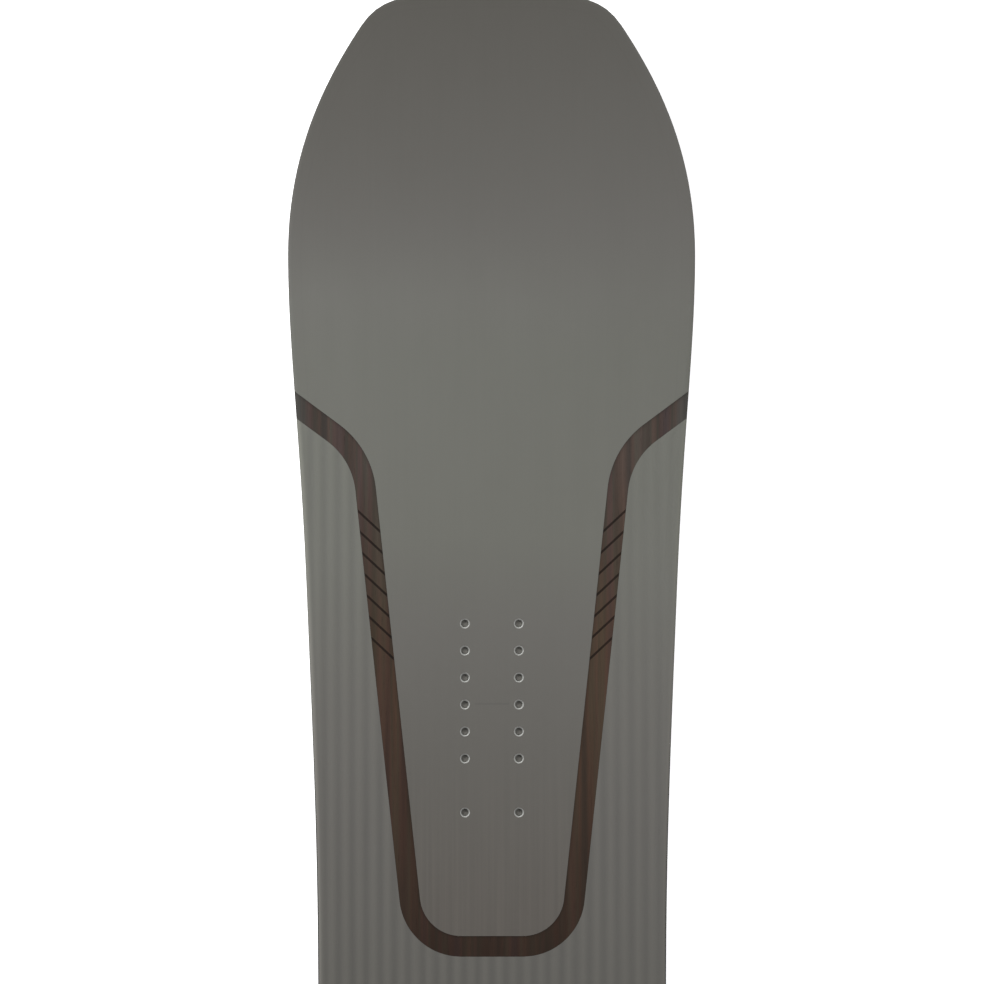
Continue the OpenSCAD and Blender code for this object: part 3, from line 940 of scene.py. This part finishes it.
def topsheet_material(name, ends):
    """Matt film with lengthwise ribs, a seam along the sidewall and a plain stance mark, with painted
    light: shade and highlight along the ribs, shade along the band and a highlight along the border.
    """
    s = Shader(name, roughness=0.46)
    x, away = s.axis("X"), s.size(s.axis("Y"))
    inset = s.attribute("inset")
    # the lines along the ribs are painted shade and highlight
    ribs = painted_rib_shade(s, x, away, inset, ends)
    mottle = s.around(s.noise(14, 9, 14, detail=2), -0.012, 0.012)
    strength = s.span(away, 0.10, 0.24, 0.11 if ends else 0.03, 0.012, smooth=True)
    streaks = s.product(s.around(s.noise(420, 5, 40, detail=2), -1.0, 1.0), strength)
    grain = s.around(s.noise(2600, 1900, 2600, detail=2), -0.03, 0.03)
    seam = s.span(s.size(inset, SEAM), 0.0, 1.0, -0.035, 0.0, smooth=True)
    # painted shade along both edges of the band
    band_edge_shade = s.product(s.attribute("band_edge_shade"), -0.3)
    value = s.total(1.0, ribs, mottle, streaks, grain, seam, band_edge_shade)
    if ends:
        value = s.product(value, stance_mark(s, x, away))
    else:
        # painted highlight: a lighter strip along the border of the centre field, stronger on the left
        border_sheen = s.span(inset, 0.8, 4.4, 1.0, 0.0, smooth=True)
        value = s.total(value, s.product(border_sheen, s.span(x, -0.12, 0.12, 0.58, 0.27)))
    stops = [(d / TONE_REACH, tone) for d, tone in (END_TONE_AND_SHEEN if ends else CENTRE_TONE_AND_SHEEN)]
    s.colour(s.shade(s.ramp(s.span(away, 0.0, TONE_REACH), *stops), value))
    s.roughness(s.around(s.noise(60, 12, 60, detail=2), 0.44, 0.49))
    s.bump(s.noise(4200, 3400, 4200, detail=3), 0.03 * MM, 0.6)
    return s.material


# Colour of the wood: positions along half of the board and tones, and factors for its strips
WOOD_REACH = 0.5
WOOD_TONES = (
    (0.13, (0.0245, 0.0152, 0.0107)),
    (0.30, (0.0355, 0.0223, 0.0155)),
    (0.60, (0.0445, 0.0295, 0.0202)),
    (0.84, (0.0485, 0.0385, 0.0335)),
)
WOOD_STRIPS = (
    (0.30, (0.70, 0.72, 0.72)),
    (0.42, (1.0, 0.86, 0.80)),
    (0.50, (0.82, 0.88, 0.82)),
    (0.58, (0.98, 0.82, 0.82)),
    (0.70, (0.74, 0.68, 0.76)),
)
GROOVE_SHADE = (0.58, 0.49, 0.43)
BORDER_GREY_WOOD = (0.050, 0.050, 0.046)  # its tone by the border


def inlay_material():
    """Dark stained open-grained wood, darkest in the crossbar, in strips of slightly different tone,
    with painted shade in its grooves, along its edges and on its left side.
    """
    s = Shader("stained_wood", roughness=0.6, Specular_IOR_Level=0.08)
    x = s.axis("X")
    base = s.ramp(s.span(s.size(s.axis("Y")), 0.0, WOOD_REACH), *WOOD_TONES)
    strips = s.ramp(s.noise(95, 1.6, 10, detail=1.0, roughness=0.4), *WOOD_STRIPS)
    grain = s.noise(1500, 32, 300, detail=4, roughness=0.6, distortion=0.6)
    pores = s.span(s.noise(2600, 90, 600, detail=2), 0.60, 0.72, 1.0, 0.7)
    # painted shade on the floors of the grooves
    groove = s.mix(s.attribute("sunk"), (1.0, 1.0, 1.0), GROOVE_SHADE)
    value = s.product(
        s.span(grain, 0.25, 0.75, 0.86, 1.14),
        pores,
        s.span(s.noise(150, 5, 40, detail=1), 0.35, 0.65, 0.84, 1.16),
        # painted shade: darker on the left side and towards the right end
        s.span(x, -0.1, 0.1, 0.88, 1.06),
        s.span(x, 0.08, 0.145, 1.0, 0.8),
        # painted shade along both edges
        s.span(s.attribute("band_edge_shade"), 0.0, 1.0, 1.0, 0.5),
        # painted shadow along the edge that faces nose or tail
        s.span(s.attribute("band_shadow"), 0.0, 1.0, 1.0, 0.7),
    )
    wood = s.mix(1.0, s.mix(1.0, base, strips, blend="MULTIPLY"), groove, blend="MULTIPLY")
    # greyer towards the border of the board
    border_grey = s.span(s.attribute("inset"), 1.0, 12.0, 0.8, 0.0, smooth=True)
    s.colour(s.shade(s.mix(border_grey, wood, BORDER_GREY_WOOD), value))
    s.roughness(s.around(grain, 0.54, 0.68))
    s.bump(s.product(grain, pores), 0.06 * MM, 0.6)
    return s.material


def steel_material(name, colour, roughness, grain, bump):
    """Ground or turned steel: grain gives its cells a metre along each axis."""
    s = Shader(name, roughness=roughness, metallic=1.0)
    lines = s.noise(*grain, detail=3)
    s.colour(s.shade(colour, s.around(lines, 0.9, 1.06)))
    s.roughness(s.around(lines, roughness - 0.06, roughness + 0.1))
    s.bump(lines, bump, 0.5)
    return s.material


def insert_material():
    """Turned stainless steel whose thread is darker: painted shade in the bore."""
    s = Shader("turned_stainless", roughness=0.4, metallic=1.0)
    lines = s.noise(3000, 3000, 200, detail=3)
    deep = s.attribute("deep")
    bright = s.shade((0.22, 0.22, 0.21), s.around(lines, 0.88, 1.08))
    # the darker colour of the bore is painted shade
    s.colour(s.mix(deep, bright, (0.18, 0.175, 0.16)))
    s.roughness(s.total(s.around(lines, 0.44, 0.56), s.product(deep, 0.1)))
    s.bump(lines, 0.01 * MM, 0.5)
    return s.material


def base_material():
    """Sintered black running surface with a ground structure and drier edges."""
    s = Shader("sintered_base", roughness=0.42)
    structure = s.noise(1800, 6, 400, detail=3)
    crosshatch = s.noise(1400, 30, 400, detail=2, turn=0.25)
    cloud = s.noise(9, 3, 9, detail=3)
    dry = s.span(s.attribute("inset"), 2.0, 26.0, 0.35, 0.0, smooth=True)
    base = s.mix(s.product(dry, cloud), (0.012, 0.012, 0.013), (0.085, 0.085, 0.085))
    lines = s.product(s.total(structure, crosshatch), 0.5)
    s.colour(s.shade(base, s.span(lines, 0.35, 0.65, 0.75, 1.35)))
    s.roughness(s.around(cloud, 0.36, 0.5))
    s.bump(lines, 0.05 * MM, 0.7)
    return s.material


def moulded_material(name, colour, roughness, mark=(300, 8, 300)):
    """Dull plastic with the fine marks of a cutter along the board."""
    s = Shader(name, roughness=roughness, Specular_IOR_Level=0.0)
    marks = s.noise(*mark, detail=3)
    speck = s.noise(2200, 2200, 2200, detail=2)
    s.colour(s.shade(colour, s.span(s.total(marks, speck), 0.7, 1.3, 0.84, 1.18)))
    s.roughness(s.around(marks, roughness - 0.07, roughness + 0.08))
    s.bump(marks, 0.04 * MM, 0.6)
    return s.material


def laminate_material(name, colour, pitch=2.2 * MM):
    """Woven glass in clear resin: two crossing sets of rovings."""
    s = Shader(name, roughness=0.32)
    waves = [s.math("SINE", s.product(s.axis(name), 2 * math.pi / pitch)) for name in "XY"]
    weave = s.product(*waves)
    fibres = s.noise(2400, 160, 900, detail=2)
    value = s.total(s.span(weave, -1.0, 1.0, -0.08, 0.08), s.around(fibres, 0.9, 1.1))
    s.colour(s.shade(s.mix(s.noise(25, 8, 25), colour, tuple(c * 0.82 for c in colour)), value))
    s.roughness(s.span(weave, -1.0, 1.0, 0.28, 0.42))
    s.bump(weave, 0.05 * MM, 0.5)
    return s.material


def core_material(name, pale, dark, shift):
    """Sawn poplar or paulownia: growth rings drawn out along the strip, with fine pores."""
    s = Shader(name, roughness=0.62)
    rings = s.noise(520 + shift, 3.5, 380, detail=2, distortion=1.2)
    fibre = s.noise(3800, 60, 3800, detail=3)
    base = s.ramp(rings, (0.32, dark), (0.5, pale), (0.62, tuple(c * 0.9 for c in pale)), (0.7, dark))
    s.colour(s.shade(base, s.around(fibre, 0.86, 1.1)))
    s.roughness(s.around(fibre, 0.55, 0.7))
    s.bump(fibre, 0.04 * MM, 0.6)
    return s.material


def foil_material():
    """Thin black rubber with a fine grain."""
    s = Shader("rubber_foil", roughness=0.75)
    grain = s.noise(2600, 2600, 2600, detail=3)
    s.colour(s.shade((0.03, 0.03, 0.03), s.around(grain, 0.7, 1.4)))
    s.roughness(s.around(grain, 0.68, 0.82))
    s.bump(grain, 0.03 * MM, 0.5)
    return s.material


# ---------- the pieces ----------


def finish_piece(piece, material):
    """Gives a piece its only material."""
    piece.data.materials.clear()
    piece.data.materials.append(material)


UPPER = (on_core(0), on_core(UPPER_T))
MIDDLE = (fixed(CORE_D), on_core(0))
LAMINATE_INSET = 0.8 * MM
SIDEWALL_INSET = 0.5 * MM


def build_skins():
    """The three fields of the topsheet and both inlaid bands."""
    end_film = topsheet_material("topsheet_film_ends", True)
    wood = inlay_material()
    for word, end in (("nose", 1), ("tail", -1)):
        finish_piece(end_field(f"{word}_topsheet", f"topsheet_{word}", end), end_film)
        finish_piece(inlay_band(f"{word}_inlay_band", f"inlay_{word}", end), wood)
    centre = centre_field("centre_topsheet", "topsheet_centre")
    finish_piece(centre, topsheet_material("topsheet_film_centre", False))


def build_sides():
    """The layers whose borders show beside and under the topsheet."""
    glass = laminate_material("glass_laminate", (0.42, 0.44, 0.33))
    plastic = moulded_material("milled_sidewall", (0.034, 0.034, 0.033), 0.5)
    spacer = moulded_material("plain_spacer", (0.05, 0.05, 0.047), 0.55, (500, 500, 500))
    ground = (900, 40, 2500)
    edge_steel = steel_material("ground_edge_steel", (0.40, 0.40, 0.41), 0.36, ground, 0.02 * MM)
    upper = refined("upper_glass_laminate", "upper_laminate", *UPPER, border=LAMINATE_INSET)
    finish_piece(upper, glass)
    lower = refined("lower_glass_laminate", "lower_laminate", fixed(EDGE_T), fixed(CORE_D))
    finish_piece(lower, glass)
    for word in ("nose", "tail"):
        piece = refined(f"{word}_spacer_block", f"{word}_spacer", *MIDDLE, border=SIDEWALL_INSET)
        finish_piece(piece, spacer)
    for side in ("left", "right"):
        wall = refined(f"{side}_sidewall", f"sidewall_{side}", *MIDDLE, border=SIDEWALL_INSET)
        finish_piece(wall, plastic)
        edge = refined(f"{side}_steel_edge", f"steel_edge_{side}", fixed(0.0), fixed(EDGE_T))
        finish_piece(edge, edge_steel)
    base = refined("running_base", "base_sheet", fixed(0.0), fixed(BASE_T))
    finish_piece(base, base_material())


def build_inserts():
    """Both packs of inserts."""
    turned = insert_material()
    for word, end in (("front", 1), ("rear", -1)):
        finish_piece(inserts(f"{word}_threaded_inserts", f"inserts_{word}", end), turned)


def dress_inner_nodes():
    """The nodes inside the board keep the frame's own shapes."""
    woods = {
        "core_pale": core_material("core_wood_pale", (0.66, 0.50, 0.30), (0.48, 0.33, 0.17), 0),
        "core_dark": core_material("core_wood_dark", (0.52, 0.37, 0.20), (0.36, 0.23, 0.11), 60),
    }
    inner = {
        "laminate": laminate_material("edge_level_ply", (0.40, 0.42, 0.32)),
        "foil": foil_material(),
        "mat": laminate_material("reinforcement_weave", (0.30, 0.34, 0.31), 3.4 * MM),
        **woods,
    }
    for part in frame["record"]["subparts"]:
        node = frame["nodes"][part["node"]]
        if not node.hide_render:
            finish_piece(node, inner[part["material_slot"]])


build_skins()
build_sides()
build_inserts()
dress_inner_nodes()

# ---------- floor, light and camera ----------

FLOOR_REACH = 60

def floor():
    """A plain pale floor, which glows a little so that the board's shadow on it stays faint."""
    bm = bmesh.new()
    bmesh.ops.create_grid(bm, x_segments=1, y_segments=1, size=FLOOR_REACH)
    piece = linked("floor", mesh_of("floor", bm))
    s = Shader("pale_floor", roughness=0.9, Base_Color=(0.86, 0.86, 0.86, 1), Specular_IOR_Level=0.1)
    s.body.inputs["Emission Color"].default_value = (1, 1, 1, 1)
    s.body.inputs["Emission Strength"].default_value = 0.6
    piece.data.materials.append(s.material)


def softbox(name, place, target, size, power):
    """A square soft light that looks at a target and that the camera can't see."""
    light = bpy.data.lights.new(name, "AREA")
    light.shape = "SQUARE"
    light.size = size
    light.energy = power
    lamp = linked(name, light)
    lamp.location = place
    lamp.rotation_euler = (Vector(target) - Vector(place)).to_track_quat("-Z", "Y").to_euler()
    lamp.visible_camera = False


def world(strength):
    """Even white light from all around."""
    backdrop = bpy.data.worlds.new("studio")
    backdrop.use_nodes = True
    sky = backdrop.node_tree.nodes["Background"]
    sky.inputs["Color"].default_value = (1, 1, 1, 1)
    sky.inputs["Strength"].default_value = strength
    bpy.context.scene.world = backdrop


def camera(target, width, lens, roll):
    """A long lens straight above, framing so many metres across at the height of the target."""
    cam = bpy.data.cameras.new("camera")
    cam.sensor_width = 36
    cam.lens = lens
    cam.clip_end = 200
    eye = linked("camera", cam)
    eye.location = Vector(target) + Vector((0, 0, width * lens / cam.sensor_width))
    eye.rotation_euler = (0, 0, roll)
    bpy.context.scene.camera = eye


NOSE_TIP = cad_box[1].y
floor()
softbox("key", (-0.5, NOSE_TIP + 0.33, 1.5), (-0.25, 0.5, 0), size=1.0, power=23)
softbox("fill", (0.42, 0.33, 1.0), (0.2, 0.33, 0), size=0.6, power=2.8)
softbox("side", (-1.05, 0.3, 1.4), (-0.13, 0.33, 0), size=0.5, power=8)
world(0.5)
camera((0.0002, NOSE_TIP - 0.368, 0.012), width=0.7294, lens=500, roll=-0.0008)
bpy.context.scene.view_settings.view_transform = "Standard"
